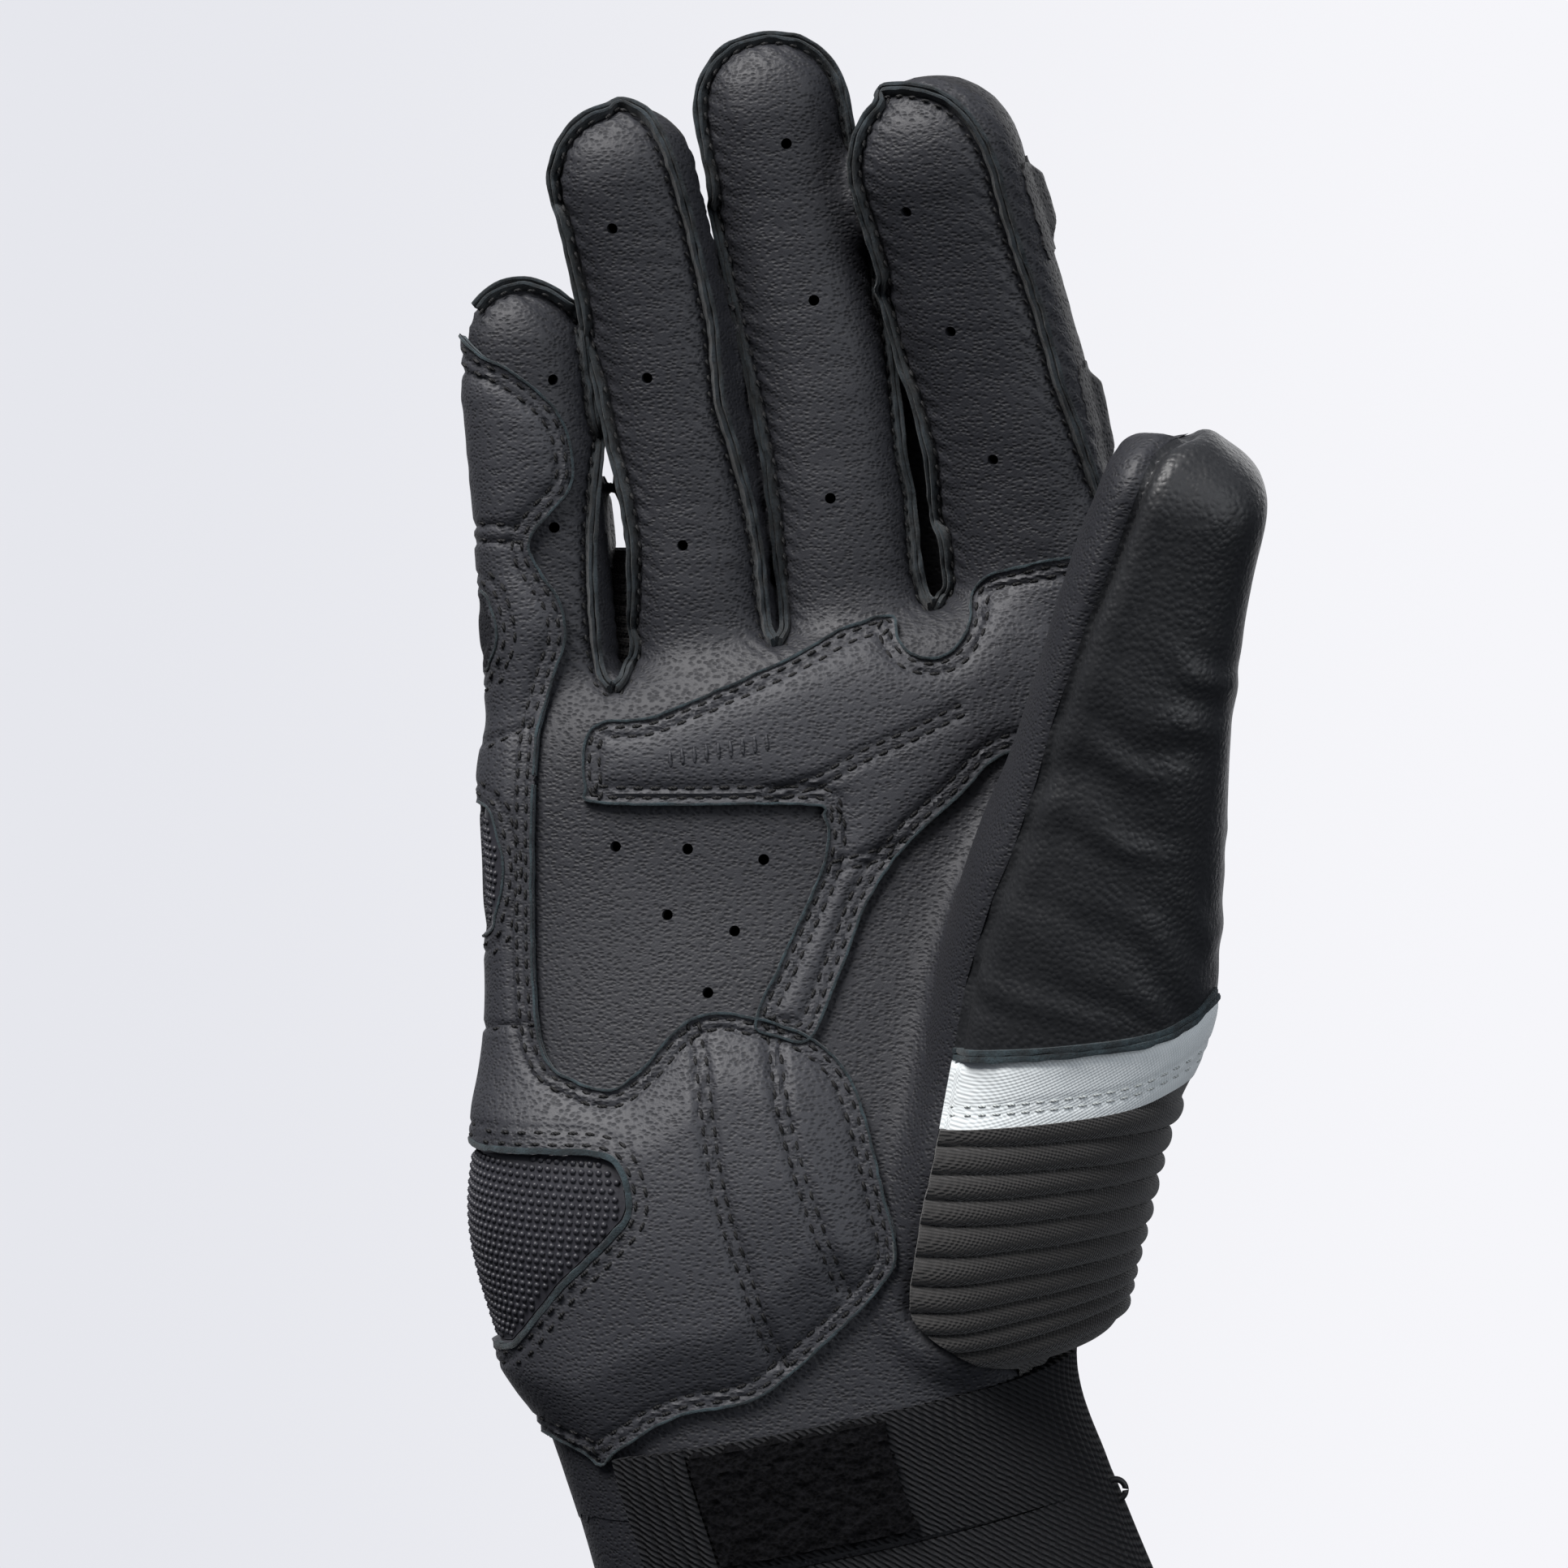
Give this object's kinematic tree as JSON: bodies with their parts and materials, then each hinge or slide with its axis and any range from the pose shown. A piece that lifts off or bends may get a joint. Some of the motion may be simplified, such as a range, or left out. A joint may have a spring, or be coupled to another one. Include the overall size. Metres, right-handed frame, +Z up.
{
  "type": "motorcycle glove",
  "caption": "Right-hand leather motorcycle glove, hollow, with raw-edged seams, sewn palm pads, studded grips, ribbed thumb base and strapped cuff.",
  "frame": {"origin": "centre of the hem's opening, where the forearm comes out", "axes": "+Z up along the fingers, -Y out of the palm, -X towards the little finger"},
  "size_m": [0.1171, 0.0987, 0.2816],
  "materials": {
    "leather": "goat leather, black, pebbled grain",
    "thumb_leather": "smooth black leather, soft folds",
    "suede_edge": "raw cut edge, dark blue-green suede",
    "stripe_fabric": "pale grey-blue woven fabric",
    "ribbed_fabric": "dark brown-grey woven stretch fabric",
    "webbing": "black corded webbing",
    "pile": "black hook and loop pile",
    "grip_rubber": "studded black rubber",
    "ring_plastic": "black plastic"
  },
  "bodies": {
    "root": {"palm_panel": "leather", "back_panel": "leather", "thenar_panel": "thumb_leather", "thumb_panel": "thumb_leather", "thumb_stripe": "stripe_fabric", "thumb_ribs": "ribbed_fabric", "palm_overlay": "leather", "outer_overlay": "leather", "grip_heel": "grip_rubber", "grip_side_mid": "grip_rubber", "grip_side_upper": "grip_rubber", "seam_little": "suede_edge", "seam_ring": "suede_edge", "seam_middle": "suede_edge", "seam_index": "suede_edge", "index_pad_upper": "leather", "index_pad_lower": "leather", "little_pad": "leather", "finger_web": "ribbed_fabric", "cuff": "leather", "wrist_strap": "webbing", "strap_end": "webbing", "strap_hook_patch": "pile", "under_patch": "pile", "cuff_strap": "webbing", "strap_ring": "ring_plastic"}
  },
  "joints": []
}
